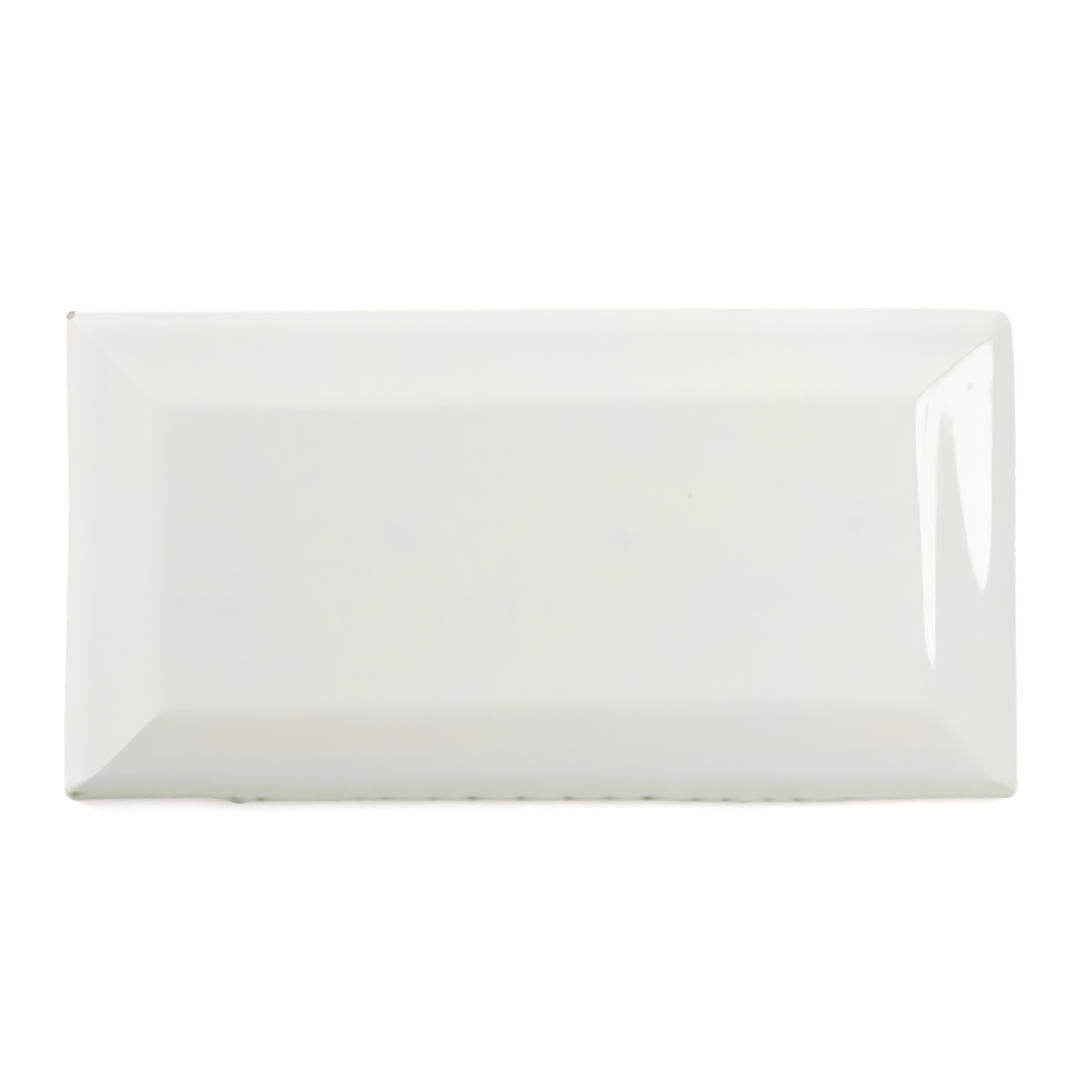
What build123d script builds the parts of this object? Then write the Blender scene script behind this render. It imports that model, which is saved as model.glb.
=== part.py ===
"""Beveled wall tile: one pressed and glazed piece of fired clay.

Millimetres. The tile lies flat with its glazed face up: +X along the long
side, +Y along the short side, +Z out of the glazed face. The origin is the
middle of the back, on the plane that the tile rests on.
"""
import os
from math import radians, tan

from build123d import *

# ---- driving dimensions ---------------------------------------------------
LENGTH = 150.0            # long side, over the rounded edges
WIDTH = 78.0              # short side
THICKNESS = 8.0           # at the flat middle panel
CORNER_R = 1.5            # outline corners, seen from above

FRAME_W = 14.7            # outline to the middle of the crease, all round
BEVEL_DEG = 11.0          # slope of the four bevels
SHOULDER_W = 3.4          # outline to the foot of the bevel
SHOULDER_DEG = 27.0       # slope of the shoulder outside the bevel
CREASE_R = 15.0           # soft crease between middle panel and bevel
FOOT_R = 9.0              # soft turn between bevel and shoulder
RIM_R = 1.2               # shoulder into the upright side

BACK_CHAMFER = 0.5        # broken edge round the back
GROOVE_COUNT = 8          # keying grooves in the back, along the long side
GROOVE_PITCH = 8.6
GROOVE_W = 5.0
GROOVE_MARGIN = 6.2       # plain land between groove ends and the outline
GROOVE_DEPTH = 0.8
GROOVE_DRAFT_DEG = 20.0   # sides lean so that the press can let go

# ---- heights that follow from them ----------------------------------------
FOOT_Z = THICKNESS - (FRAME_W - SHOULDER_W) * tan(radians(BEVEL_DEG))
RIM_Z = FOOT_Z - SHOULDER_W * tan(radians(SHOULDER_DEG))


def section_points(half):
    """Corners of the cross-section across a side of 2 * half."""
    return [
        (-half, 0.0),
        (-half, RIM_Z),
        (-half + SHOULDER_W, FOOT_Z),
        (-half + FRAME_W, THICKNESS),
        (half - FRAME_W, THICKNESS),
        (half - SHOULDER_W, FOOT_Z),
        (half, RIM_Z),
        (half, 0.0),
    ]


with BuildPart() as tile:
    # section along the long side, run across the tile
    with BuildSketch(Plane.XZ) as long_section:
        with BuildLine():
            Polyline(*section_points(LENGTH / 2), close=True)
        make_face()
        corners = long_section.vertices()
        fillet([v for v in corners if abs(v.Y - THICKNESS) < 1e-6], CREASE_R)
        fillet([v for v in corners if abs(v.Y - FOOT_Z) < 1e-6], FOOT_R)
        fillet([v for v in corners if abs(v.Y - RIM_Z) < 1e-6], RIM_R)
    extrude(amount=WIDTH / 2, both=True)

    # the same section across the short side: what both share has four equal
    # bevels that meet in mitres
    with BuildSketch(Plane.YZ) as short_section:
        with BuildLine():
            Polyline(*section_points(WIDTH / 2), close=True)
        make_face()
        corners = short_section.vertices()
        fillet([v for v in corners if abs(v.Y - THICKNESS) < 1e-6], CREASE_R)
        fillet([v for v in corners if abs(v.Y - FOOT_Z) < 1e-6], FOOT_R)
        fillet([v for v in corners if abs(v.Y - RIM_Z) < 1e-6], RIM_R)
    extrude(amount=LENGTH / 2, both=True, mode=Mode.INTERSECT)

    # rounded corners of the outline
    with BuildSketch(Plane.XY) as outline:
        RectangleRounded(LENGTH, WIDTH, CORNER_R)
    extrude(amount=THICKNESS, mode=Mode.INTERSECT)

    # broken edge round the back
    back_edges = tile.faces().sort_by(Axis.Z)[0].outer_wire().edges()
    chamfer(back_edges, BACK_CHAMFER)

    # shallow grooves that let the adhesive key into the back
    with BuildSketch(Plane.XY) as grooves:
        with GridLocations(0, GROOVE_PITCH, 1, GROOVE_COUNT):
            SlotOverall(LENGTH - 2 * GROOVE_MARGIN, GROOVE_W)
    extrude(amount=GROOVE_DEPTH, taper=GROOVE_DRAFT_DEG, mode=Mode.SUBTRACT)

tile.part.label = "tile"

os.makedirs("parts", exist_ok=True)
export_step(tile.part, "parts/tile.step")

box = tile.part.bounding_box()
print("size", [round(v, 3) for v in box.size], "low z", round(box.min.Z, 4))
print("volume cm3", round(tile.part.volume / 1000, 2),
      "rim z", round(RIM_Z, 3), "foot z", round(FOOT_Z, 3))
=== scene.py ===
import math

import bmesh
import bpy
import numpy as np
from mathutils import Matrix, Vector
from mathutils.geometry import delaunay_2d_cdt


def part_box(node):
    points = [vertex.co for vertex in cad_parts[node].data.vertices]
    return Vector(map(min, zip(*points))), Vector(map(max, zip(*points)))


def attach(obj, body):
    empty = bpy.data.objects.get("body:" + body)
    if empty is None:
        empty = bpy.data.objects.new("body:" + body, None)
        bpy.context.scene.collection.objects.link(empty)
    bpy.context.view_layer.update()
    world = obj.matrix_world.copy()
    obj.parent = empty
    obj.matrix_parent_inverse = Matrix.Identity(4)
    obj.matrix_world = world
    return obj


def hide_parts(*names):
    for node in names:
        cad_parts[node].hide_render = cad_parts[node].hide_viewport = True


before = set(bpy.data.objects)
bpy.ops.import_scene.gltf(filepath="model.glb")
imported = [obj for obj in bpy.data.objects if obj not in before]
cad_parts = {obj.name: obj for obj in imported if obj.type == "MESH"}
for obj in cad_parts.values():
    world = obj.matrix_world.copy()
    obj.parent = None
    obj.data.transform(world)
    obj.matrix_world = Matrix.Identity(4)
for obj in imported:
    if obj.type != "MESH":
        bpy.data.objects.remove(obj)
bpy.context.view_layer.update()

# Beveled wall tile: one pressed, glazed and fired piece. All lengths below are
# in millimetres and turn into metres when the mesh is made. +Z is the glazed
# face, +X the long side, and the back lies on Z = 0.

low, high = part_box("tile")
LX, LY, ZT = high.x * 1000.0, high.y * 1000.0, high.z * 1000.0

# ---- camera ----------------------------------------------------------------
PX_PER_MM = 6.386         # at the height of the tile
DISTANCE = 500.0
PITCH, ROLL = math.radians(3.0), math.radians(0.27)
AIM = Vector((-0.16, 2.01, 7.0))

forward = Vector((0.0, math.sin(PITCH), -math.cos(PITCH)))
flat_right = Vector((1.0, 0.0, 0.0))
flat_up = Vector((0.0, math.cos(PITCH), math.sin(PITCH)))
right = flat_right * math.cos(ROLL) - flat_up * math.sin(ROLL)
up = flat_right * math.sin(ROLL) + flat_up * math.cos(ROLL)
place = (AIM - forward * DISTANCE) / 1000.0

camera_data = bpy.data.cameras.new("camera")
camera_data.sensor_width = 36.0
camera_data.lens = 36.0 * DISTANCE / (1080.0 / PX_PER_MM)
camera_data.clip_start = 0.01
camera_data.clip_end = 50.0
camera = bpy.data.objects.new("camera", camera_data)
camera.matrix_world = Matrix((
    (right.x, up.x, -forward.x, place.x),
    (right.y, up.y, -forward.y, place.y),
    (right.z, up.z, -forward.z, place.z),
    (0.0, 0.0, 0.0, 1.0),
))
bpy.context.scene.collection.objects.link(camera)
bpy.context.scene.camera = camera
bpy.context.scene.view_settings.view_transform = "Standard"
bpy.context.scene.view_settings.look = "None"
bpy.context.scene.view_settings.exposure = 0.0
bpy.context.scene.view_settings.gamma = 1.0

# ---- small maths -------------------------------------------------------------


def smooth(t):
    t = np.clip(t, 0.0, 1.0)
    return t * t * (3.0 - 2.0 * t)


def tand(a):
    return np.tan(np.radians(a))


def smin(a, b, k):
    """The lower of two heights, with a soft turn k high where they cross."""
    h = np.maximum(k - np.abs(a - b), 0.0) / k
    return np.minimum(a, b) - h * h * k * 0.25


def knots(s, pairs):
    """A line through (place, value) pairs, its corners softened."""
    p = np.array([a for a, _ in pairs], float)
    v = np.array([b for _, b in pairs], float)
    s = np.asarray(s, float)
    return sum(w * np.interp(s + o, p, v) for w, o in
               ((0.1, -2.4), (0.2, -1.2), (0.4, 0.0), (0.2, 1.2), (0.1, 2.4)))


_rng = np.random.RandomState(41)
_perm = np.tile(_rng.permutation(256), 3)
_grad = _rng.normal(size=(256, 3))
_grad /= np.linalg.norm(_grad, axis=1, keepdims=True)


def wave(x, y, z=0.0):
    """Smooth gradient noise, about -0.6 to 0.6, one bump per unit."""
    x, y, z = np.broadcast_arrays(np.asarray(x, float), np.asarray(y, float), np.asarray(z, float))
    xi, yi, zi = (np.floor(a).astype(int) for a in (x, y, z))
    xf, yf, zf = x - xi, y - yi, z - zi
    u, v, w = (a * a * a * (a * (a * 6 - 15) + 10) for a in (xf, yf, zf))
    total = 0.0
    for dx in (0, 1):
        for dy in (0, 1):
            for dz in (0, 1):
                h = _perm[_perm[_perm[(xi + dx) & 255] + ((yi + dy) & 255)] + ((zi + dz) & 255)]
                g = _grad[h]
                dot = g[..., 0] * (xf - dx) + g[..., 1] * (yf - dy) + g[..., 2] * (zf - dz)
                total = total + dot * (u if dx else 1 - u) * (v if dy else 1 - v) * (w if dz else 1 - w)
    return total


# ---- the glazed face -----------------------------------------------------------
# Each side has a flat-to-bevel crease, a bevel, a foot where the bevel turns
# into the shoulder, and the shoulder itself. Insets are measured from the outline.
CREASE = {
    "b": ((-62.0, 14.3), (-40.0, 14.4), (-30.0, 15.0), (0.0, 15.05), (48.0, 15.3), (62.0, 15.3)),
    "t": ((-60.0, 15.5), (-37.0, 15.6), (-22.0, 15.35), (-6.0, 15.05), (17.0, 14.6), (41.0, 14.35), (62.0, 14.4)),
    "l": ((-30.0, 15.2), (-7.0, 15.35), (7.0, 15.8), (24.0, 15.5)),
}
RIGHT_CREASE = (14.63, 15.58)      # at the lower end, at the upper end
RIGHT_FOOT = ((-20.0, 4.56), (-4.0, 3.63), (12.0, 4.15), (30.0, 3.47))
RIGHT_FOOT_TURN = (0.675, 0.092)
FOOT = 3.4
SHOULDER = 27.0
TOP_IN, TOP_OUT, TOP_TURN = 13.94, 10.81, 0.62     # top bevel near the right end
TOP_REST_IN, TOP_REST_OUT, TOP_REST_TURN = 13.4, 9.9, 0.46
BOTTOM_IN, BOTTOM_OUT = 9.0, 13.9                  # the lower bevel swells a little instead
SIDE_IN, SIDE_OUT = 11.7, 10.7
RIM_START = 0.7
PANEL_MARGIN = 4.5
# The right bevel sags a little between crease and foot. Its slope in degrees, at
# distances outward from the crease (columns) and places along the side (rows).
SAG_T = np.array([-1.6, -0.7, 0.1, 0.9, 1.9, 3.2, 5.2, 7.8, 10.4])
SAG_Y = np.array([-34.0, -24.0, -14.0, -6.0, 2.0, 9.0, 15.0, 21.0, 27.0, 34.0])
SAG = np.array([
    [0.0, 5.54, 6.74, 8.91, 12.0, 14.01, 14.62, 14.3, 13.61],
    [0.0, 5.92, 7.54, 9.27, 12.4, 14.12, 14.43, 13.63, 12.04],
    [0.0, 6.3, 8.35, 9.9, 12.73, 14.01, 14.09, 12.8, 10.32],
    [0.0, 5.65, 8.27, 10.68, 12.54, 13.33, 13.31, 11.37, 8.33],
    [0.0, 5.06, 8.28, 10.67, 12.04, 13.04, 13.25, 10.36, 6.71],
    [0.0, 6.45, 8.15, 10.3, 11.58, 12.48, 12.34, 9.74, 5.41],
    [0.0, 7.89, 7.86, 9.92, 11.63, 12.06, 11.92, 8.9, 5.05],
    [0.0, 7.57, 7.2, 9.94, 11.04, 11.93, 11.61, 9.88, 6.88],
    [0.0, 5.95, 5.76, 10.34, 11.04, 10.84, 10.99, 11.14, 8.85],
    [0.0, 4.74, 4.73, 11.36, 11.04, 10.07, 9.86, 10.11, 9.36],
])

_tf = np.arange(-2.0, 13.01, 0.1)
_yf = np.arange(-42.0, 42.01, 0.5)
_rows = np.stack([np.interp(_yf, SAG_Y, SAG[:, j]) for j in range(len(SAG_T))], 1)
_ker = np.array([1, 2, 3, 4, 3, 2, 1.0]) / 16.0
_pad = np.pad(_rows, ((3, 3), (0, 0)), "edge")
_rows = sum(_ker[i] * _pad[i:i + len(_yf)] for i in range(7))
_slope = np.stack([np.interp(_tf, SAG_T, row) for row in _rows])
_ker = np.array([1, 2, 3, 2, 1.0]) / 9.0
_pad = np.pad(_slope, ((0, 0), (2, 2)), "edge")
_slope = sum(_ker[i] * _pad[:, i:i + len(_tf)] for i in range(5))
_m = np.tan(np.radians(_slope))
_drop = np.concatenate([np.zeros((len(_yf), 1)), np.cumsum((_m[:, 1:] + _m[:, :-1]) * 0.05, 1)], 1)


def sag_drop(y, t):
    """How far the right bevel has dropped at t outward from its crease."""
    fy = np.clip((y - _yf[0]) / 0.5, 0, len(_yf) - 1.001)
    ft = np.clip((t - _tf[0]) / 0.1, 0, len(_tf) - 1.001)
    iy = np.clip(fy.astype(int), 1, len(_yf) - 3)
    it = np.clip(ft.astype(int), 1, len(_tf) - 3)
    a, b = fy - iy, ft - it

    def four(q):
        return ((-q + 2 * q * q - q ** 3) / 2, (2 - 5 * q * q + 3 * q ** 3) / 2,
                (q + 4 * q * q - 3 * q ** 3) / 2, (-q * q + q ** 3) / 2)
    wy, wt = four(a), four(b)
    return sum(wy[i] * wt[j] * _drop[iy - 1 + i, it - 1 + j] for i in range(4) for j in range(4))


def crease_inset(name, s):
    if name == "r":
        return RIGHT_CREASE[0] + (RIGHT_CREASE[1] - RIGHT_CREASE[0]) * smooth((s + 22.0) / 50.0)
    return knots(s, CREASE[name])


def foot_inset(name, s):
    if name == "r":
        return np.interp(s, [a for a, _ in RIGHT_FOOT], [b for _, b in RIGHT_FOOT])
    return np.full_like(np.asarray(s, float), FOOT)


def plain_side(d, crease, foot, s_in, s_out, k_crease, k_foot):
    t, run = crease - d, crease - foot
    m_in, m_out = tand(s_in), tand(s_out)
    tt = np.minimum(t, run)
    bevel = ZT - (m_in * tt + np.where(tt > 0, (m_out - m_in) * tt * tt / (2 * run), 0.0))
    bevel = bevel - np.maximum(t - run, 0) * m_out
    at_foot = ZT - (m_in * run + (m_out - m_in) * run / 2)
    shoulder = at_foot - (t - run) * tand(SHOULDER)
    return smin(smin(bevel, shoulder, k_foot), np.full_like(shoulder, ZT), k_crease)


def side_height(name, d, s):
    """Height of one side alone, at inset d and place s along it."""
    d, s = np.broadcast_arrays(np.asarray(d, float), np.asarray(s, float))
    crease, foot = crease_inset(name, s), foot_inset(name, s)
    if name == "r":
        t = crease - d
        bevel = ZT - sag_drop(s, np.minimum(t, 12.9))
        shoulder = ZT - sag_drop(s, crease - foot) - (t - (crease - foot)) * tand(SHOULDER)
        turn = np.clip(RIGHT_FOOT_TURN[0] + (RIGHT_FOOT_TURN[1] - RIGHT_FOOT_TURN[0])
                       * smooth((s + 12.0) / 24.0), 0.05, 1.2)
        return smin(bevel, shoulder, turn)
    if name == "t":
        end = smooth((s - 35.0) / 37.0)
        start = smooth((-s - 50.0) / 14.0)
        return plain_side(d, crease, foot,
                          TOP_REST_IN + (TOP_IN - TOP_REST_IN) * end + (SIDE_IN - TOP_REST_IN) * start,
                          TOP_REST_OUT + (TOP_OUT - TOP_REST_OUT) * end + (SIDE_OUT - TOP_REST_OUT) * start,
                          TOP_REST_TURN + (TOP_TURN - TOP_REST_TURN) * end, 0.41)
    if name == "b":
        start, end = smooth((-s - 50.0) / 14.0), smooth((s - 54.0) / 14.0)
        return plain_side(d, crease, foot, BOTTOM_IN + (SIDE_IN - BOTTOM_IN) * start + (10.6 - BOTTOM_IN) * end,
                          BOTTOM_OUT + (SIDE_OUT - BOTTOM_OUT) * start + (12.6 - BOTTOM_OUT) * end, 0.30, 0.41)
    return plain_side(d, crease, foot, SIDE_IN, SIDE_OUT, 0.42, 0.41)


def height(x, y):
    """Height of the glazed face: the lowest of its four sides, mitred."""
    zl, zr = side_height("l", LX + x, y), side_height("r", LX - x, y)
    zb, zt = side_height("b", LY + y, x), side_height("t", LY - y, x)
    # the mitres are crisp except where glaze has pooled over them
    soft = 0.05 + 0.34 * smooth((x - 50) / 8) * smooth((-y - 15) / 8) \
        + 0.12 * smooth((-x - 50) / 8) * smooth((y - 15) / 8)
    return smin(smin(zl, zr, 0.05), smin(zb, zt, 0.05), soft)


def level_of(name, d, s):
    """0 at the rim's start, 1 at the foot, 2 at the crease, 3 on the flat panel."""
    crease, foot = crease_inset(name, s), foot_inset(name, s)
    return np.where(d < foot, (d - RIM_START) / (foot - RIM_START),
                    np.where(d < crease, 1 + (d - foot) / (crease - foot), 2 + (d - crease) / PANEL_MARGIN))


def inset_of(name, level, s):
    crease, foot = crease_inset(name, s), foot_inset(name, s)
    if level < 1:
        return RIM_START + level * (foot - RIM_START)
    if level < 2:
        return foot + (level - 1) * (crease - foot)
    return crease + (level - 2) * PANEL_MARGIN


def mitre(h, v, sx, sy):
    """Where a long and a short side have the same height, as insets per level."""
    u = np.linspace(0.1, 24.0, 479)
    a, b = np.full_like(u, -4.0), np.full_like(u, 4.0)
    for _ in range(40):
        w = 0.5 * (a + b)
        lower = side_height(v, u + w, sy * (LY - u + w)) < side_height(h, u - w, sx * (LX - u - w))
        a, b = np.where(lower, w, a), np.where(lower, b, w)
    z = side_height(v, u + w, sy * (LY - u + w))
    last = int(np.nonzero(z < ZT - 0.15)[0].max())
    lean = (w[last] - w[last - 40]) / (u[last] - u[last - 40])
    w = np.where(u > u[last], w[last] + lean * (u - u[last]), w)
    levels = 0.5 * (level_of(h, u - w, sx * (LX - u - w)) + level_of(v, u + w, sy * (LY - u + w)))
    return levels, sx * (LX - u - w), sy * (LY - u + w)


CORNERS = (("b", "l", -1, -1), ("b", "r", 1, -1), ("t", "r", 1, 1), ("t", "l", -1, 1))
MITRES = [mitre(*c) for c in CORNERS]


def ring(level, fx, fy):
    """One closed line round the face, from the corner at -X -Y anticlockwise,
    and the height that each side alone gives it."""
    ends, heights = [], []
    for m, (h, v, sx, sy) in zip(MITRES, CORNERS):
        u, w = LX - abs(np.interp(level, m[0], m[1])), LY - abs(np.interp(level, m[0], m[2]))
        k = smooth(1.0 - level)
        u, w = u + (w - u) * 0.5 * k, w + (u - w) * 0.5 * k
        ends.append((sx * (LX - u), sy * (LY - w)))
        heights.append((float(side_height(h, w, sx * (LX - u))), float(side_height(v, u, sy * (LY - w)))))
    xs, ys, zs = [], [], []
    for i, name in enumerate("brtl"):
        p, q = ends[i], ends[(i + 1) % 4]
        f = (fx if name in "bt" else fy)[:-1]
        k = 0 if name in "bt" else 1
        s = p[k] + (q[k] - p[k]) * f
        full = LY if k == 0 else LX
        e0, e1 = full - abs(p[1 - k]), full - abs(q[1 - k])
        d = inset_of(name, level, s) \
            + (e0 - inset_of(name, level, np.array(p[k]))) * (1 - smooth(np.abs(s - p[k]) / 6.0)) \
            + (e1 - inset_of(name, level, np.array(q[k]))) * (1 - smooth(np.abs(s - q[k]) / 6.0))
        across = (full - d) * (-1 if name in "bl" else 1)
        xs.append(s if k == 0 else across)
        ys.append(across if k == 0 else s)
        z = side_height(name, d, s)
        for c, at in ((i, p[k]), ((i + 1) % 4, q[k])):
            z = z + (0.5 * sum(heights[c]) - heights[c][k]) * (1 - smooth(np.abs(s - at) / 5.0))
        zs.append(z)
    return np.concatenate(xs), np.concatenate(ys), np.concatenate(zs)


# ---- outline ---------------------------------------------------------------------
# Fired clay does not keep a ruled edge: places along each side and how far the
# edge stands out there.
EDGE = {
    "b": ((-74, -0.46), (-71, -0.56), (-68, -0.74), (-62, -0.78), (-52, -0.80), (-48.5, -0.24), (-44, -0.18), (-28, -0.24), (-6, -0.15),
          (18, -0.05), (24, 0.18), (30, 0.24), (43, 0.28), (51, 0.08), (58, -0.10), (66, -0.24), (72, -0.22)),
    "t": ((-70, -0.06), (-36, -0.02), (-13, 0.0), (-2, 0.06), (13, 0.02), (25, 0.12), (32, 0.05), (47, -0.02),
          (55, 0.04), (66, -0.15), (70.5, -0.42), (74, -0.55)),
    "l": ((-34, 0.14), (-31, 0.22), (-21, 0.18), (-15, 0.0), (-6, -0.12), (0.7, -0.26), (10, -0.34), (16.5, -0.20),
          (26, 0.0), (35.5, 0.12), (38, 0.05)),
    "r": ((-36, -0.20), (-31.5, -0.14), (-22, -0.10), (-12.7, -0.12), (-3, -0.14), (6, 0.0), (19, 0.13), (25, 0.11),
          (31.6, 0.04), (36, -0.30)),
}
CORNER_R = {(-1, -1): 2.2, (1, -1): 1.9, (1, 1): 3.0, (-1, 1): 1.1}


def shape_outline(x, y, n_long, n_short):
    """Rounds the four corners of a ring in plan, the outer rings most, then lets the sides wander."""
    for (_, _, sx, sy), i in zip(CORNERS, (0, n_long, n_long + n_short, 2 * n_long + n_short)):
        cx, cy, r = x[i], y[i], CORNER_R[(sx, sy)]
        r = r - 0.27 * (0.9 + 0.37 * r) * (LX - abs(cx) + LY - abs(cy)) * 0.55
        if r <= 0.02:
            continue
        qx, qy = sx * (x - cx) + r, sy * (y - cy) + r
        inside = (qx > 0) & (qy > 0)
        k = np.maximum(qx, qy) / (np.hypot(qx, qy) + 1e-9)
        x = np.where(inside, cx + sx * (qx * k - r), x)
        y = np.where(inside, cy + sy * (qy * k - r), y)

    def near(d):
        return 1 - smooth(d / 9.0)
    nx = x + knots(y, EDGE["r"]) * near(LX - x) - knots(y, EDGE["l"]) * near(LX + x)
    ny = y + knots(x, EDGE["t"]) * near(LY - y) - knots(x, EDGE["b"]) * near(LY + y)
    return nx, ny


def spaced(length, fine, coarse, grow):
    """Fractions along a side: close together at its ends, even in between."""
    steps, step, run = [], fine, 0.0
    while step < coarse:
        steps.append(step)
        run += step
        step *= grow
    n = int(round((length - 2 * run) / coarse))
    steps = steps + [(length - 2 * run) / n] * n + steps[::-1]
    f = np.concatenate([[0.0], np.cumsum(steps)])
    return f / f[-1]


def doubled(f):
    mid = 0.5 * (f[1:] + f[:-1])
    out = np.empty(len(f) + len(mid))
    out[0::2], out[1::2] = f, mid
    return out


FX, FY = spaced(2 * LX, 0.16, 0.86, 1.13), spaced(2 * LY, 0.16, 0.86, 1.13)
FX2, FY2 = doubled(FX), doubled(FY)

OVER_CREASE = [4.5, 3.9, 3.3, 2.7, 2.2, 1.8, 1.5, 1.25, 1.0, 0.75, 0.5, 0.25, 0.0]
BEVEL_RUN = [0.25, 0.45, 0.55, 0.65, 0.75, 0.85, 0.95, 1.05, 1.15, 1.25, 1.35, 1.45, 1.6, 1.8, 2.05, 2.5, 3.0, 3.5, 4.0, 4.5, 5.0, 5.5, 6.0, 6.5, 7.0, 7.5, 8.0,
             8.5, 9.0, 9.5, 9.95, 10.35, 10.65, 10.9, 11.1, 11.3]
SHOULDER_RUN = [0.18, 0.36, 0.56, 0.8, 1.1, 1.4, 1.7, 2.0, 2.3, 2.5, 2.7]
inner_levels = [2 + a / PANEL_MARGIN for a in OVER_CREASE] + [2 - a / 11.3 for a in BEVEL_RUN]
outer_levels = [1 - a / 2.7 for a in SHOULDER_RUN]


def glaze_wave(x, y):
    """Slow unevenness of the fired glaze."""
    calm = 1 - 0.6 * smooth((x - 50) / 10) * smooth((y + 32) / 8)
    return calm * (0.012 * wave(x / 15 + 3.1, y / 15) + 0.0035 * wave(x / 5.2, y / 5.2, 4.7)
                   + 0.0007 * wave(x / 2.1, y / 2.1, 9.3))


DROP_AT, DROP_W = (66.6, 26.6), (2.4, 0.92)     # one long dimple in the glaze, near the upper right corner


def dimple(x, y):
    c, s = math.cos(math.radians(16)), math.sin(math.radians(16))
    u, v = (x - DROP_AT[0]) * c + (y - DROP_AT[1]) * s, -(x - DROP_AT[0]) * s + (y - DROP_AT[1]) * c
    return np.exp(-(u / DROP_W[0]) ** 2 - (v / DROP_W[1]) ** 2)


SEAM = ((2.0, 60.25), (6.0, 60.3), (16.0, 60.35), (19.5, 60.5), (22.0, 60.75), (24.5, 61.1))


def seam(x, y):
    """A hair-fine fold in the glaze beside the right crease."""
    at = np.interp(y, [a for a, _ in SEAM], [b for _, b in SEAM])
    return np.exp(-((x - at) / 0.28) ** 2) * smooth((y - 3.0) / 5.0) * smooth((25.0 - y) / 3.0)


def face_ring(level, fx, fy):
    x, y, alone = ring(level, fx, fy)
    z = height(x, y)
    z = z + (alone - z) * smooth((1.0 - level) / 0.5)
    z = z + glaze_wave(x, y) * (smooth(level / 0.6) if level < 1 else 1.0) - 0.0132 * dimple(x, y) - 0.020 * seam(x, y)
    return x, y, z


rings = []
for level in inner_levels:
    rings.append(face_ring(level, FX, FY))
split = len(rings)
for level in outer_levels:
    rings.append(face_ring(level, FX2, FY2))

# ---- rolled rim and side walls --------------------------------------------------------
x0, y0, z0 = rings[-1]
ox, oy = [], []
for i, name in enumerate("brtl"):
    f = (FX2 if name in "bt" else FY2)[:-1]
    along = (2 * f - 1) * (LX if name in "bt" else LY) * (1 if name in "br" else -1)
    across = np.full_like(f, {"b": -LY, "t": LY, "l": -LX, "r": LX}[name])
    ox.append(along if name in "bt" else across)
    oy.append(across if name in "bt" else along)
ox, oy = np.concatenate(ox), np.concatenate(oy)

TURN = math.radians(SHOULDER)
RIM_R = RIM_START / (1 - math.sin(TURN))
for deg in (36.0, 46.0, 57.0, 68.0, 79.0, 90.0):
    a = math.radians(deg)
    g = 1 - RIM_R * (math.sin(a) - math.sin(TURN)) / RIM_START
    rings.append((ox + (x0 - ox) * g, oy + (y0 - oy) * g, z0 - RIM_R * (math.cos(TURN) - math.cos(a))))

for i, (x, y, z) in enumerate(rings):
    fx, fy = (FX, FY) if i < split else (FX2, FY2)
    rings[i] = (*shape_outline(x, y, len(fx) - 1, len(fy) - 1), z)

wx, wy, wz = rings[-1]
tx, ty = np.roll(wx, -1) - np.roll(wx, 1), np.roll(wy, -1) - np.roll(wy, 1)
tl = np.hypot(tx, ty)
nx, ny = ty / tl, -tx / tl

# lower edge of the glaze: wavy, with a few runs that reach further down
edge_z = 1.02 + 0.65 * wave(wx / 11, wy / 11, 2.2) + 0.4 * wave(wx / 3.6, wy / 3.6, 5.1)
RUNS = (("b", -47.6, 1.5, 1.0, 0.42), ("b", 31.7, 1.3, 0.8, 0.22), ("b", -2.0, 1.1, 0.5, 0.05), ("b", 58.0, 1.6, 0.6, 0.05),
        ("l", -12.0, 1.4, 0.6, 0.05), ("r", 6.0, 1.7, 0.7, 0.05), ("t", -30.0, 1.5, 0.5, 0.04), ("t", 22.0, 1.2, 0.7, 0.04),
        ("r", -27.0, 1.0, 0.5, 0.04), ("l", 21.0, 1.1, 0.4, 0.04), ("b", -63.0, 1.0, 0.5, 0.04), ("t", 55.0, 1.8, 0.5, 0.03))


def run_weight(name, place, width):
    on = {"b": oy < -LY + 1e-6, "t": oy > LY - 1e-6, "l": ox < -LX + 1e-6, "r": ox > LX - 1e-6}[name]
    along = wx if name in "bt" else wy
    return np.where(on, np.exp(-((along - place) / width) ** 2), 0.0)


swell = np.zeros_like(wx)
for name, place_s, width, reach, out in RUNS:
    w = run_weight(name, place_s, width)
    edge_z -= reach * w
    swell += out * run_weight(name, place_s, width * 0.8)
edge_z = np.clip(edge_z, 0.60, 2.0)
grain_a = wave(wx / 0.9, wy / 0.9, 1.3)
BARE = 0.15


def wall(z, out):
    rings.append((wx + nx * out, wy + ny * out, z))


rim_z = wz.copy()
# the rim carries the runs too, so that they show from above
for i in range(split + len(outer_levels) - 3, len(rings)):
    x, y, z = rings[i]
    k = (i - (split + len(outer_levels) - 4)) / (len(rings) - (split + len(outer_levels) - 3))
    w = smooth(min(k, 1.0)) * 0.9
    rings[i] = (x + nx * swell * w, y + ny * swell * w, z)
for f, s in ((0.3, 1.0), (0.6, 1.0), (0.82, 0.9)):
    z = rim_z + (edge_z - rim_z) * f
    wall(z, swell * s + 0.035 * wave(wx / 2.6, wy / 2.6, z / 2.0))
wall(edge_z + 0.20, swell * 0.75 + 0.030 + 0.02 * wave(wx / 2.1, wy / 2.1, 7.7))
wall(edge_z + 0.08, swell * 0.7 + 0.025)
wall(edge_z + 0.01, swell * 0.6 - 0.015)
wall(edge_z - 0.02, swell * 0.3 - 0.08)
glaze_last = len(rings) - 1
wall(edge_z - 0.05, -BARE + 0.02 * grain_a)
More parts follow.
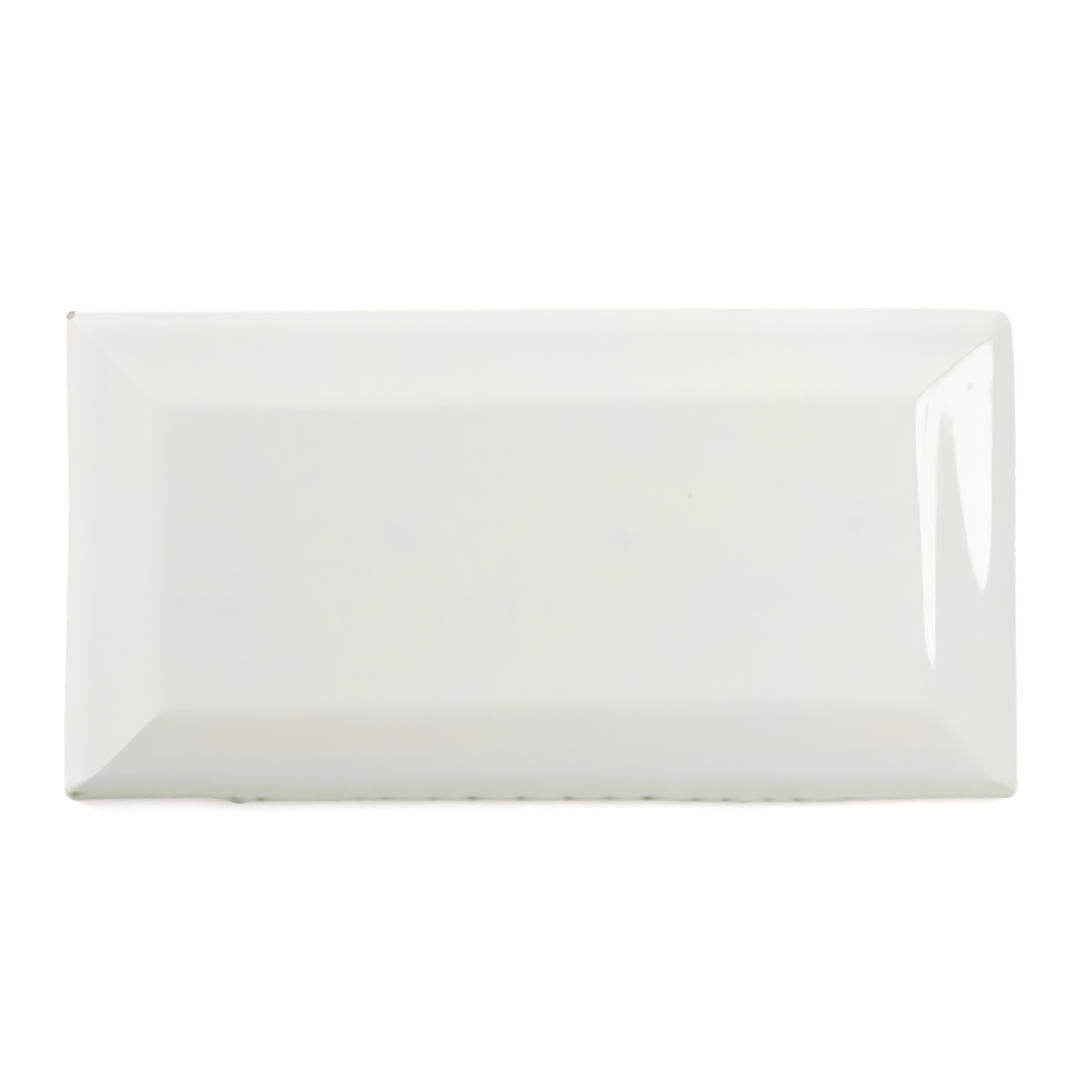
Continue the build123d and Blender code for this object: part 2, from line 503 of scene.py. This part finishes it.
for f in (0.35, 0.7, 1.0):
    z = edge_z - 0.05 + (0.5 - (edge_z - 0.05)) * f
    wall(z, -BARE + 0.05 * wave(wx / 0.9, wy / 0.9, z / 0.5 + 1.3) + 0.06 * wave(wx / 6, wy / 6, 3.3))
wall(np.full_like(wx, 0.20), -BARE - 0.20 + 0.05 * wave(wx / 0.9, wy / 0.9, 8.0))
wall(np.full_like(wx, 0.0), -BARE - 0.46 + 0.08 * wave(wx / 1.1, wy / 1.1, 12.0))

# ---- vertices and faces ------------------------------------------------------------------
verts, faces, mats = [], [], []
starts = []
count = 0
for x, y, z in rings:
    starts.append(count)
    verts.append(np.stack([x, y, np.broadcast_to(z, x.shape)], 1))
    count += len(x)
N1, N2 = len(rings[0][0]), len(rings[-1][0])
for r in range(len(rings) - 1):
    a, b = starts[r], starts[r + 1]
    na, nb = len(rings[r][0]), len(rings[r + 1][0])
    bare = 1 if r >= glaze_last else 0
    if na == nb:
        for i in range(na):
            j = (i + 1) % na
            faces.append((a + i, b + i, b + j, a + j))
            mats.append(bare)
    else:
        for i in range(na):
            j = (i + 1) % na
            p, q, s = b + 2 * i, b + 2 * i + 1, b + (2 * i + 2) % nb
            faces += [(a + i, p, q), (a + i, q, a + j), (a + j, q, s)]
            mats += [bare] * 3

# flat middle panel: a grid stretched between the four parts of the innermost ring
mx, my = len(FX) - 1, len(FY) - 1
x, y, _ = rings[0]
line = np.stack([x, y], 1)
bottom = np.concatenate([line[:mx], line[mx:mx + 1]])
rightl = np.concatenate([line[mx:mx + my], line[mx + my:mx + my + 1]])
topl = np.concatenate([line[mx + my:2 * mx + my], line[2 * mx + my:2 * mx + my + 1]])[::-1]
leftl = np.concatenate([line[2 * mx + my:], line[:1]])[::-1]
U, V = FX[1:-1][None, :, None], FY[1:-1][:, None, None]
grid = (1 - V) * bottom[None, 1:-1] + V * topl[None, 1:-1] + (1 - U) * leftl[1:-1, None] + U * rightl[1:-1, None] \
    - ((1 - U) * (1 - V) * bottom[0] + U * (1 - V) * bottom[-1] + (1 - U) * V * topl[0] + U * V * topl[-1])
gx, gy = grid[..., 0].ravel(), grid[..., 1].ravel()
gz = height(gx, gy) + glaze_wave(gx, gy)
g0 = count
verts.append(np.stack([gx, gy, gz], 1))
count += len(gx)


def panel(i, j):
    """Index of grid point i along X, j along Y, with the ring as the border."""
    if j == 0:
        return i
    if i == mx:
        return mx + j
    if j == my:
        return mx + my + (mx - i)
    if i == 0:
        return (2 * mx + my + (my - j)) % N1
    return g0 + (j - 1) * (mx - 1) + (i - 1)


for j in range(my):
    for i in range(mx):
        faces.append((panel(i, j), panel(i + 1, j), panel(i + 1, j + 1), panel(i, j + 1)))
        mats.append(0)

# ---- grooved back ---------------------------------------------------------------------------
GROOVES, PITCH_G, GROOVE_W, GROOVE_DEPTH = 8, 8.6, 5.0, 0.8
GROOVE_HALF = LX - 6.2
LEAN = math.tan(math.radians(20.0)) * GROOVE_DEPTH
centres = [(k - (GROOVES - 1) / 2) * PITCH_G for k in range(GROOVES)]


def slot_line(cy, grow, n_end=9, step=2.2):
    """Outline of one groove: straight sides, round ends; n points a quarter turn."""
    r = GROOVE_W / 2 + grow
    c = GROOVE_HALF - GROOVE_W / 2
    n = int(2 * c / step)
    xs = np.linspace(-c, c, n + 1)
    arc = np.linspace(-math.pi / 2, math.pi / 2, 2 * n_end + 1)[1:-1]
    pts = [(x, cy - r) for x in xs] + [(c + r * math.cos(a), cy + r * math.sin(a)) for a in arc]
    pts += [(x, cy + r) for x in xs[::-1]] + [(-c - r * math.cos(a), cy - r * math.sin(a)) for a in arc]
    return np.array(pts), n, 2 * n_end - 1


last = starts[-1]
rim_xy = np.stack([rings[-1][0], rings[-1][1]], 1)
cdt_xy, cdt_edges, owner = [], [], []
for i in range(N2):
    cdt_xy.append(tuple(rim_xy[i]))
    cdt_edges.append((i, (i + 1) % N2))
    owner.append(last + i)
slots, slot_lines = [], []
for cy in centres:
    pts, n_side, n_arc = slot_line(cy, 0.0)
    base = len(cdt_xy)
    first = count
    wob = 0.05 * wave(pts[:, 0] / 3.0, pts[:, 1] / 3.0, 6.6)
    pts = pts.copy()
    pts[:, 1] += wob
    verts.append(np.stack([pts[:, 0], pts[:, 1], np.zeros(len(pts))], 1))
    count += len(pts)
    for i in range(len(pts)):
        cdt_xy.append(tuple(pts[i]))
        cdt_edges.append((base + i, base + (i + 1) % len(pts)))
        owner.append(first + i)
    slots.append((first, len(pts), cy, n_side, n_arc, wob))
    slot_lines.append(pts)
# free points on the land keep its triangles even
land = []
for ly in np.arange(-LY + 2.4, LY - 2.0, 2.15):
    for lx in np.arange(-LX + 2.4, LX - 2.0, 2.15):
        px, py = lx + 0.5 * float(wave(lx, ly, 3.0)), ly + 0.5 * float(wave(lx, ly, 8.0))
        clear = all(
            math.hypot(max(abs(px) - (GROOVE_HALF - GROOVE_W / 2), 0.0), py - cy) > GROOVE_W / 2 + 0.7
            for cy in centres)
        if clear:
            land.append((px, py))
for p in land:
    cdt_xy.append(p)
    owner.append(None)
out_xy, _, out_faces, orig, _, _ = delaunay_2d_cdt(
    [Vector(p) for p in cdt_xy], cdt_edges, [], 0, 1e-6)
index = {}
extra = []
for i, source in enumerate(orig):
    known = [owner[k] for k in source if owner[k] is not None]
    if known:
        index[i] = known[0]
    else:
        index[i] = count
        extra.append((out_xy[i].x, out_xy[i].y, 0.0))
        count += 1
if extra:
    verts.append(np.array(extra))


def closed(line):
    return line[:, 0], line[:, 1], np.roll(line[:, 0], -1), np.roll(line[:, 1], -1)


def inside(loop, px, py):
    ax, ay, bx, by = loop
    cross = (ay > py) != (by > py)
    at = ax[cross] + (py - ay[cross]) / (by[cross] - ay[cross]) * (bx[cross] - ax[cross])
    return int(np.count_nonzero(px < at)) % 2 == 1


rim_loop = closed(rim_xy)
slot_loops = [closed(line) for line in slot_lines]


def in_groove(px, py):
    return any(abs(py - cy) < GROOVE_W / 2 + 0.3 and inside(loop, px, py) for cy, loop in zip(centres, slot_loops))


for f in out_faces:
    cx = sum(out_xy[k].x for k in f) / len(f)
    cy = sum(out_xy[k].y for k in f) / len(f)
    if in_groove(cx, cy) or not inside(rim_loop, cx, cy):
        continue
    ids = [index[k] for k in f]
    if len(set(ids)) < 3:
        continue
    faces.append(tuple(reversed(ids)))
    mats.append(1)
for first, n, cy, n_side, n_arc, wob in slots:
    previous = first
    for depth, grow in ((0.10, -0.06), (0.42, -LEAN * 0.5), (0.72, -LEAN * 0.9), (0.80, -LEAN - 0.14)):
        pts, _, _ = slot_line(cy, grow)
        verts.append(np.stack([pts[:, 0], pts[:, 1] + wob * (1 - depth), np.full(n, depth)
                               + 0.02 * wave(pts[:, 0] / 2.0, pts[:, 1] / 2.0, 4.0)], 1))
        here = count
        count += n
        for i in range(n):
            j = (i + 1) % n
            faces.append((previous + i, here + i, here + j, previous + j))
            mats.append(1)
        previous = here
    # floor: straight stretch as quads, each end as a strip folded over its middle
    a = [previous + i for i in range(n_side + 1)]
    b = [previous + n_side + 1 + n_arc + i for i in range(n_side + 1)][::-1]
    for i in range(n_side):
        faces.append((a[i], b[i], b[i + 1], a[i + 1]))
        mats.append(1)
    for start in (previous + n_side, previous + 2 * n_side + n_arc + 1):
        arc = [previous + (start - previous + k) % n for k in range(n_arc + 2)]
        lo_i, hi_i = 0, len(arc) - 1
        while hi_i - lo_i > 1:
            if hi_i - lo_i == 2:
                faces.append((arc[lo_i], arc[hi_i], arc[lo_i + 1]))
                mats.append(1)
                break
            faces.append((arc[lo_i], arc[hi_i], arc[hi_i - 1], arc[lo_i + 1]))
            mats.append(1)
            lo_i, hi_i = lo_i + 1, hi_i - 1

P = np.concatenate(verts)
assert len(P) == count

# ---- chipped corner ---------------------------------------------------------------------------
BITES = (((-74.40, 39.10, 4.5), 1.12, 1.0), ((-73.0, 39.50, 4.5), 1.05, 0.0), ((-74.80, 38.2, 4.45), 0.75, 1.0))
bite = np.zeros(len(P))
for c, r, bared in BITES:
    c = np.array(c)
    d = P - c
    dist = np.linalg.norm(d, axis=1)
    rough = r * (1 + 0.10 * wave(P[:, 0] * 1.7, P[:, 1] * 1.7, P[:, 2] * 1.7))
    hit = (dist < rough) & (P[:, 2] > 0.8)
    bite = np.maximum(bite, bared * smooth((rough + 0.10 - dist) / 0.14) * (P[:, 2] > 0.8))
    P = np.where(hit[:, None], c + d / np.maximum(dist, 1e-6)[:, None] * rough[:, None], P)

# ---- marks in the glaze where it is thin and elsewhere, and some painted shade ----------------
x, y, z = P[:, 0], P[:, 1], P[:, 2]
out_b, out_t, out_l, out_r = LY + y, LY - y, LX + x, LX - x
outline_d = np.minimum(np.minimum(out_b, out_t), np.minimum(out_l, out_r))
upper = z > 0.6
lip = smooth((1.7 + 0.8 * wave(x / 4, y / 4, 1.0) - outline_d) / 1.6) * upper
SPECKS = ((-48.2, 0.5, 0.75), (-44.2, 0.55, 0.9), (-28.6, 0.6, 0.32), (-24.4, 0.9, 0.45), (-16.9, 0.6, 0.42),
          (-11.0, 0.62, 0.85), (-3.4, 0.5, 0.75), (4.1, 0.55, 0.75), (10.4, 0.7, 0.55), (16.5, 0.6, 1.0),
          (24.2, 0.7, 0.6), (28.8, 0.5, 0.65), (35.4, 0.45, 0.55), (40.0, 0.55, 0.6), (47.9, 0.5, 0.32),
          (-61.0, 1.6, 0.20), (-66.0, 3.0, 0.16), (-70.5, 2.0, 0.22), (-73.2, 0.55, 0.9), (-55.0, 2.5, 0.15))
speck = np.zeros(len(P))
bottom_line = -LY - knots(x, EDGE["b"])
for sx, half, strength in SPECKS:
    inset = 0.45 if sx > -72 else 1.1
    half = half * 1.2
    v = (y - bottom_line - inset) / 0.38
    u = (x - sx) / half
    tail = (x - sx - 0.5) / (half * 3.2)
    speck = np.maximum(speck, strength * (0.62 * np.exp(-(u * u + v * v))
                                          + 0.30 * np.exp(-(tail * tail + v * v * 1.3))) * (z > 2.6))
# thin glaze along the very edge of the lower side, where the clay's tone comes through
thin = np.exp(-((y - bottom_line - 0.12) / 0.30) ** 2) * (z > 2.2) \
    * (0.34 + 0.22 * smooth((-x - 5) / 40) + 0.30 * wave(x / 3.1, 2.0, 0.7) + 0.22 * wave(x / 0.9, 5.0, 1.7))
speck = np.maximum(speck, np.clip(thin * 0.30, 0, 0.2))
# the longest run of glaze pools darker at its tip
speck = np.maximum(speck, 0.62 * np.exp(-((x + 48.1) / 1.7) ** 2 - ((y - bottom_line + 0.05) / 0.55) ** 2) * (z > 1.6))
# painted shade and reflection: the lower shoulder, which faces away from the light, is darkened towards olive, stronger
# to the left
olive_shade = smooth((4.4 + 1.3 * wave(x / 6, 1.0, 3.0) - out_b) / 3.2) * upper * smooth((out_l + 1) / 3) * smooth((out_r + 1) / 3) \
    * (0.62 + 0.38 * smooth((25 - x) / 80) + 0.45 * wave(x / 2.3, 9.0, y / 5.0))
# bevels come out a shade less red than the panel, most of all towards the foot
neutral = np.maximum(smooth((15.5 - out_t) / 11.0), smooth((15.5 - out_l) / 11.0) * smooth((out_b - 2) / 8))
neutral = np.maximum(neutral, smooth((9.5 - out_b) / 7.0) * smooth((70 - x) / 12))
neutral = np.maximum(neutral * smooth((out_r - np.minimum(out_t, out_b) + 2.2) / 2.2), 0.7 * smooth((1.9 - out_r) / 1.7)) * upper
# painted shade: the upper bevel is darkened a little towards its right end
upper_right_shade = smooth((x - 46.0) / 26.0) * smooth((out_r - out_t + 2.2) / 2.2) * smooth((13.0 - out_t) / 8.0) * upper
# cooler, slightly thicker glaze in a few faint clouds on the flat panel
cool = np.zeros(len(P))
for bx, by, rx_, ry_, strength in ((-51.0, -7.0, 10.0, 9.0, 1.0), (-44.0, -17.0, 7.0, 5.0, 0.8), (-22.0, 2.5, 2.4, 2.4, 0.9),
                                   (13.0, 2.0, 3.2, 2.6, 0.9), (50.0, 5.5, 4.0, 3.0, 0.9), (-8.0, -9.0, 8.0, 4.0, 0.5),
                                   (31.0, -8.0, 9.0, 5.0, 0.5)):
    cool = np.maximum(cool, strength * np.exp(-((x - bx) / rx_) ** 2 - ((y - by) / ry_) ** 2))
# clay laid bare beside the chip
bite = np.maximum(bite, 0.85 * smooth((0.80 - np.hypot(x + 74.25, (y - 38.2) * 0.85)) / 0.35) * (z > 2.6))
cool = np.clip(cool * (1 + 0.9 * wave(x / 4.3, y / 4.3, 2.0)), 0, 1) * upper
blush = np.zeros(len(P))
for bx, by, rx_, ry_, strength in ((-40.0, -28.6, 17.0, 3.6, 1.0), (-20.0, -28.5, 14.0, 3.2, 0.75), (-54.0, -28.5, 6.0, 3.0, 0.4),
                                   (14.0, -29.0, 22.0, 3.0, 0.35), (55.0, -28.0, 9.0, 3.4, 0.8), (-74.0, 35.0, 0.8, 3.6, 1.3)):
    blush = np.maximum(blush, strength * np.exp(-((x - bx) / rx_) ** 2 - ((y - by) / ry_) ** 2))
for bx, by, r_, strength in ((-17.4, 27.1, 0.9, 0.55), (-0.2, 27.9, 0.9, 0.5), (28.0, 29.4, 0.9, 0.5), (36.6, 29.4, 0.8, 0.45)):
    blush = np.maximum(blush, strength * np.exp(-((x - bx) ** 2 + (y - by) ** 2) / r_ ** 2))

mesh = bpy.data.meshes.new("tile_glazed")
mesh.from_pydata((P / 1000.0).tolist(), [], faces)
mesh.polygons.foreach_set("material_index", np.array(mats, np.int32))
mesh.polygons.foreach_set("use_smooth", np.ones(len(faces), bool))
for name, values in (("bite", bite), ("lip", lip), ("speck", speck), ("blush", blush),
                     ("olive_shade", np.clip(olive_shade, 0, 1)), ("cool", cool), ("neutral", neutral),
                     ("upper_right_shade", upper_right_shade)):
    a = mesh.attributes.new(name, "FLOAT", "POINT")
    a.data.foreach_set("value", values.astype(np.float32))
mesh.validate()
mesh.update()
bm = bmesh.new()
bm.from_mesh(mesh)
bmesh.ops.recalc_face_normals(bm, faces=bm.faces)
bm.to_mesh(mesh)
open_edges = sum(1 for e in bm.edges if len(e.link_faces) != 2)
print("tile: faces", len(bm.faces), "verts", len(bm.verts), "open or odd edges", open_edges,
      "triangles", sum(len(f.verts) - 2 for f in bm.faces), "volume cm3", round(bm.calc_volume() * 1e6, 2))
bm.free()
mesh.set_sharp_from_angle(angle=math.radians(38))
tile = bpy.data.objects.new("tile_glazed", mesh)
bpy.context.scene.collection.objects.link(tile)

# ---- materials ----------------------------------------------------------------------------------


def new_material(name):
    m = bpy.data.materials.new(name)
    m.use_nodes = True
    m.node_tree.nodes.clear()
    n, l = m.node_tree.nodes, m.node_tree.links
    out = n.new("ShaderNodeOutputMaterial")
    shader = n.new("ShaderNodeBsdfPrincipled")
    l.new(shader.outputs[0], out.inputs["Surface"])
    return m, n, l, shader


def noise(n, l, coord, scale, detail=2.0, rough=0.5, distort=0.0):
    t = n.new("ShaderNodeTexNoise")
    t.inputs["Scale"].default_value = scale
    t.inputs["Detail"].default_value = detail
    t.inputs["Roughness"].default_value = rough
    t.inputs["Distortion"].default_value = distort
    l.new(coord, t.inputs["Vector"])
    return t.outputs["Fac"]


def remap(n, l, value, a, b, c=0.0, d=1.0):
    r = n.new("ShaderNodeMapRange")
    r.interpolation_type = "SMOOTHSTEP"
    r.inputs["From Min"].default_value = a
    r.inputs["From Max"].default_value = b
    r.inputs["To Min"].default_value = c
    r.inputs["To Max"].default_value = d
    l.new(value, r.inputs["Value"])
    return r.outputs["Result"]


def math_node(n, l, op, a, b):
    m = n.new("ShaderNodeMath")
    m.operation = op
    for i, v in enumerate((a, b)):
        if isinstance(v, (int, float)):
            m.inputs[i].default_value = v
        else:
            l.new(v, m.inputs[i])
    return m.outputs[0]


def mix(n, l, fac, a, b, how="MIX"):
    m = n.new("ShaderNodeMix")
    m.data_type = "RGBA"
    m.blend_type = how
    if isinstance(fac, (int, float)):
        m.inputs["Factor"].default_value = fac
    else:
        l.new(fac, m.inputs["Factor"])
    for key, v in (("A", a), ("B", b)):
        sock = [s for s in m.inputs if s.name == key and s.type == "RGBA"][0]
        if isinstance(v, tuple):
            sock.default_value = (*v, 1.0)
        else:
            l.new(v, sock)
    return [s for s in m.outputs if s.type == "RGBA"][0]


def attribute(n, name):
    a = n.new("ShaderNodeAttribute")
    a.attribute_name = name
    a.attribute_type = "GEOMETRY"
    return a.outputs["Fac"]


# glaze
glaze, n, l, shader = new_material("glaze_warm_white")
obj = n.new("ShaderNodeTexCoord").outputs["Object"]
cloud = remap(n, l, noise(n, l, obj, 42.0, 3.0, 0.55, 0.4), 0.40, 0.66)
fine = remap(n, l, noise(n, l, obj, 330.0, 2.0, 0.6), 0.30, 0.70)
warm = remap(n, l, noise(n, l, obj, 90.0, 2.0, 0.5), 0.35, 0.70)
col = mix(n, l, cloud, (0.741, 0.712, 0.669), (0.727, 0.710, 0.682))
col = mix(n, l, math_node(n, l, "MULTIPLY", warm, 0.35), col, (0.742, 0.706, 0.656))
col = mix(n, l, math_node(n, l, "MULTIPLY", fine, 0.22), col, (0.704, 0.685, 0.654))
blot = remap(n, l, noise(n, l, obj, 270.0, 2.0, 0.55, 0.2), 0.32, 0.66)
col = mix(n, l, math_node(n, l, "MULTIPLY", math_node(n, l, "MULTIPLY", attribute(n, "cool"), blot), 0.68),
          col, (0.672, 0.674, 0.664))
col = mix(n, l, math_node(n, l, "MULTIPLY", attribute(n, "blush"), 0.80), col, (0.752, 0.694, 0.648))
col = mix(n, l, attribute(n, "neutral"), col, (0.967, 0.990, 1.001), "MULTIPLY")
# painted shade on the upper bevel towards its right end
col = mix(n, l, attribute(n, "upper_right_shade"), col, (0.957, 0.952, 0.955), "MULTIPLY")
lip_n = math_node(n, l, "MULTIPLY", attribute(n, "lip"), remap(n, l, noise(n, l, obj, 260.0, 2.0, 0.6), 0.25, 0.75, 0.70, 1.0))
col = mix(n, l, lip_n, col, (0.992, 1.004, 1.030), "MULTIPLY")
# painted shade and reflection: darker olive on the lower shoulder
col = mix(n, l, math_node(n, l, "MULTIPLY", attribute(n, "olive_shade"), 0.66), col, (0.650, 0.640, 0.535))
col = mix(n, l, attribute(n, "speck"), col, (0.240, 0.215, 0.130))
# pinholes: a few small dark points far apart
cells = n.new("ShaderNodeTexVoronoi")
cells.inputs["Scale"].default_value = 62.0
l.new(obj, cells.inputs["Vector"])
pin = remap(n, l, cells.outputs["Distance"], 0.016, 0.030, 1.0, 0.0)
pick = n.new("ShaderNodeSeparateColor")
l.new(cells.outputs["Color"], pick.inputs[0])
pin = math_node(n, l, "MULTIPLY", pin, remap(n, l, pick.outputs[0], 0.86, 0.90))
col = mix(n, l, math_node(n, l, "MULTIPLY", pin, 0.35), col, (0.42, 0.40, 0.36))
# one single pit in the panel, right of the middle
near = n.new("ShaderNodeVectorMath")
near.operation = "DISTANCE"
l.new(obj, near.inputs[0])
near.inputs[1].default_value = (0.02333, 0.00874, 0.0080)
col = mix(n, l, remap(n, l, near.outputs["Value"], 0.00008, 0.00065, 0.24, 0.0), col, (0.42, 0.39, 0.35))
bite_n = attribute(n, "bite")
clay_in = mix(n, l, remap(n, l, noise(n, l, obj, 900.0, 2.0, 0.6), 0.35, 0.65), (0.330, 0.275, 0.265), (0.500, 0.430, 0.415))
col = mix(n, l, bite_n, col, clay_in)
l.new(col, shader.inputs["Base Color"])
rough = remap(n, l, noise(n, l, obj, 120.0, 3.0, 0.6), 0.3, 0.75, 0.035, 0.060)
rough = math_node(n, l, "ADD", rough, math_node(n, l, "MULTIPLY", bite_n, 0.75))
rough = math_node(n, l, "ADD", rough, math_node(n, l, "MULTIPLY", attribute(n, "speck"), 0.20))
l.new(rough, shader.inputs["Roughness"])
shader.inputs["IOR"].default_value = 1.5
peel = noise(n, l, obj, 520.0, 2.0, 0.5)
hgt = math_node(n, l, "ADD", peel, math_node(n, l, "MULTIPLY", pin, -1.5))
hgt = math_node(n, l, "ADD", hgt, math_node(n, l, "MULTIPLY", bite_n,
                math_node(n, l, "MULTIPLY", noise(n, l, obj, 1800.0, 3.0, 0.7), 30.0)))
bump = n.new("ShaderNodeBump")
bump.inputs["Strength"].default_value = 0.35
bump.inputs["Distance"].default_value = 0.000012
l.new(hgt, bump.inputs["Height"])
l.new(bump.outputs["Normal"], shader.inputs["Normal"])

# bare fired clay
clay, n, l, shader = new_material("bare_red_clay")
obj = n.new("ShaderNodeTexCoord").outputs["Object"]
big = remap(n, l, noise(n, l, obj, 28.0, 4.0, 0.6, 0.6), 0.36, 0.68)
grit = remap(n, l, noise(n, l, obj, 1500.0, 3.0, 0.65), 0.35, 0.70)
col = mix(n, l, big, (0.500, 0.310, 0.225), (0.560, 0.375, 0.285))
col = mix(n, l, math_node(n, l, "MULTIPLY", grit, 0.45), col, (0.620, 0.465, 0.375))
cells = n.new("ShaderNodeTexVoronoi")
cells.inputs["Scale"].default_value = 420.0
l.new(obj, cells.inputs["Vector"])
ragged = math_node(n, l, "MULTIPLY", noise(n, l, obj, 2600.0, 2.0, 0.6), 0.30)
dots = remap(n, l, math_node(n, l, "ADD", cells.outputs["Distance"], ragged), 0.21, 0.30, 1.0, 0.0)
pick = n.new("ShaderNodeSeparateColor")
l.new(cells.outputs["Color"], pick.inputs[0])
dark = math_node(n, l, "MULTIPLY", dots, remap(n, l, pick.outputs[0], 0.72, 0.80))
pale = math_node(n, l, "MULTIPLY", dots, remap(n, l, pick.outputs[1], 0.78, 0.86))
col = mix(n, l, math_node(n, l, "MULTIPLY", dark, 0.7), col, (0.165, 0.080, 0.055))
col = mix(n, l, math_node(n, l, "MULTIPLY", pale, 0.6), col, (0.760, 0.640, 0.540))
dust = remap(n, l, noise(n, l, obj, 75.0, 5.0, 0.7, 0.8), 0.50, 0.66)
col = mix(n, l, math_node(n, l, "MULTIPLY", dust, 0.45), col, (0.720, 0.610, 0.530))
l.new(col, shader.inputs["Base Color"])
l.new(remap(n, l, grit, 0.0, 1.0, 0.78, 0.95), shader.inputs["Roughness"])
bump = n.new("ShaderNodeBump")
bump.inputs["Strength"].default_value = 0.6
bump.inputs["Distance"].default_value = 0.00012
h = math_node(n, l, "ADD", noise(n, l, obj, 2200.0, 3.0, 0.7), math_node(n, l, "MULTIPLY", dark, -0.8))
l.new(h, bump.inputs["Height"])
l.new(bump.outputs["Normal"], shader.inputs["Normal"])

mesh.materials.append(glaze)
mesh.materials.append(clay)

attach(tile, "root")
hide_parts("tile")

# ---- floor, light ----------------------------------------------------------------------------------
floor_mesh = bpy.data.meshes.new("floor")
bm = bmesh.new()
corners = [bm.verts.new(v) for v in ((-6, -6, 0), (6, -6, 0), (6, 6, 0), (-6, 6, 0))]
bm.faces.new(corners)
bm.to_mesh(floor_mesh)
bm.free()
floor = bpy.data.objects.new("floor", floor_mesh)
floor.location = (0.0, 0.0, -0.00002)
bpy.context.scene.collection.objects.link(floor)
paper, n, l, shader = new_material("floor_paper")
obj = n.new("ShaderNodeTexCoord").outputs["Object"]
l.new(mix(n, l, noise(n, l, obj, 18.0, 3.0), (0.955, 0.955, 0.955), (0.965, 0.965, 0.962)), shader.inputs["Base Color"])
shader.inputs["Roughness"].default_value = 0.9
shader.inputs["Specular IOR Level"].default_value = 0.1
shader.inputs["Emission Color"].default_value = (1.0, 1.0, 1.0, 1.0)
shader.inputs["Emission Strength"].default_value = 0.215
floor_mesh.materials.append(paper)

world = bpy.data.worlds.new("studio")
bpy.context.scene.world = world
world.use_nodes = True
n, l = world.node_tree.nodes, world.node_tree.links
n.clear()
out = n.new("ShaderNodeOutputWorld")
back = n.new("ShaderNodeBackground")
l.new(back.outputs[0], out.inputs[0])
heading = n.new("ShaderNodeTexCoord").outputs["Generated"]
# a soft dome, brightest at the upper left: height and compass angle in degrees,
# how narrow each soft lobe is, and its strength
DOME = 0.012
LOBES = ((20, 135, 3, 1.434), (20, 135, 14, 2.090), (45, 180, 14, 0.973), (68, 135, 14, 1.152), (20, 180, 14, 0.560),
         (20, 270, 14, 0.837), (20, 0, 14, 0.657), (20, 45, 14, 0.611), (45, 0, 14, 0.414), (68, 0, 14, 0.262),
         (68, 90, 14, 0.166))
total = None
for el, az, narrow, strength in LOBES:
    el, az = math.radians(el), math.radians(az)
    dot = n.new("ShaderNodeVectorMath")
    dot.operation = "DOT_PRODUCT"
    l.new(heading, dot.inputs[0])
    dot.inputs[1].default_value = (math.cos(el) * math.cos(az), math.cos(el) * math.sin(az), math.sin(el))
    lobe = math_node(n, l, "POWER", math_node(n, l, "MAXIMUM", dot.outputs["Value"], 0.0), narrow)
    lobe = math_node(n, l, "MULTIPLY", lobe, strength)
    total = math_node(n, l, "ADD", DOME if total is None else total, lobe)
l.new(total, back.inputs["Strength"])
back.inputs["Color"].default_value = (1.0, 1.0, 1.0, 1.0)


def panel_light(name, shape, at, size, size_y, power, colour, mirrored=True):
    data = bpy.data.lights.new(name, "AREA")
    data.shape = shape
    data.size, data.size_y = size, size_y
    data.energy = power
    data.color = colour
    ob = bpy.data.objects.new(name, data)
    ob.location = at
    ob.visible_glossy = mirrored
    bpy.context.scene.collection.objects.link(ob)
    return ob


def power_for(radiance, area):
    return radiance * math.pi * area


panel_light("soft_main", "ELLIPSE", (0.3748, 0.0516, 0.700), 0.2034, 0.1137,
            power_for(4.9, math.pi * 0.1017 * 0.0568), (0.74, 0.84, 1.0))
panel_light("soft_small", "ELLIPSE", (0.4614, 0.0762, 0.700), 0.0290, 0.1067,
            power_for(4.9, math.pi * 0.0145 * 0.0534), (0.74, 0.84, 1.0))
# diffused fill from low panels beside the table
for name, at, strength in (("fill_right", (0.45, 0.0, 0.45), 0.460), ("fill_lower_right", (0.45, -0.45, 0.45), 0.308),
                           ("fill_far_right", (0.90, -0.45, 0.45), 0.202), ("fill_upper_left", (-0.90, 0.90, 0.45), 1.899)):
    panel_light(name, "SQUARE", at, 0.25, 0.25, math.pi * strength, (1.0, 1.0, 1.0), mirrored=False)
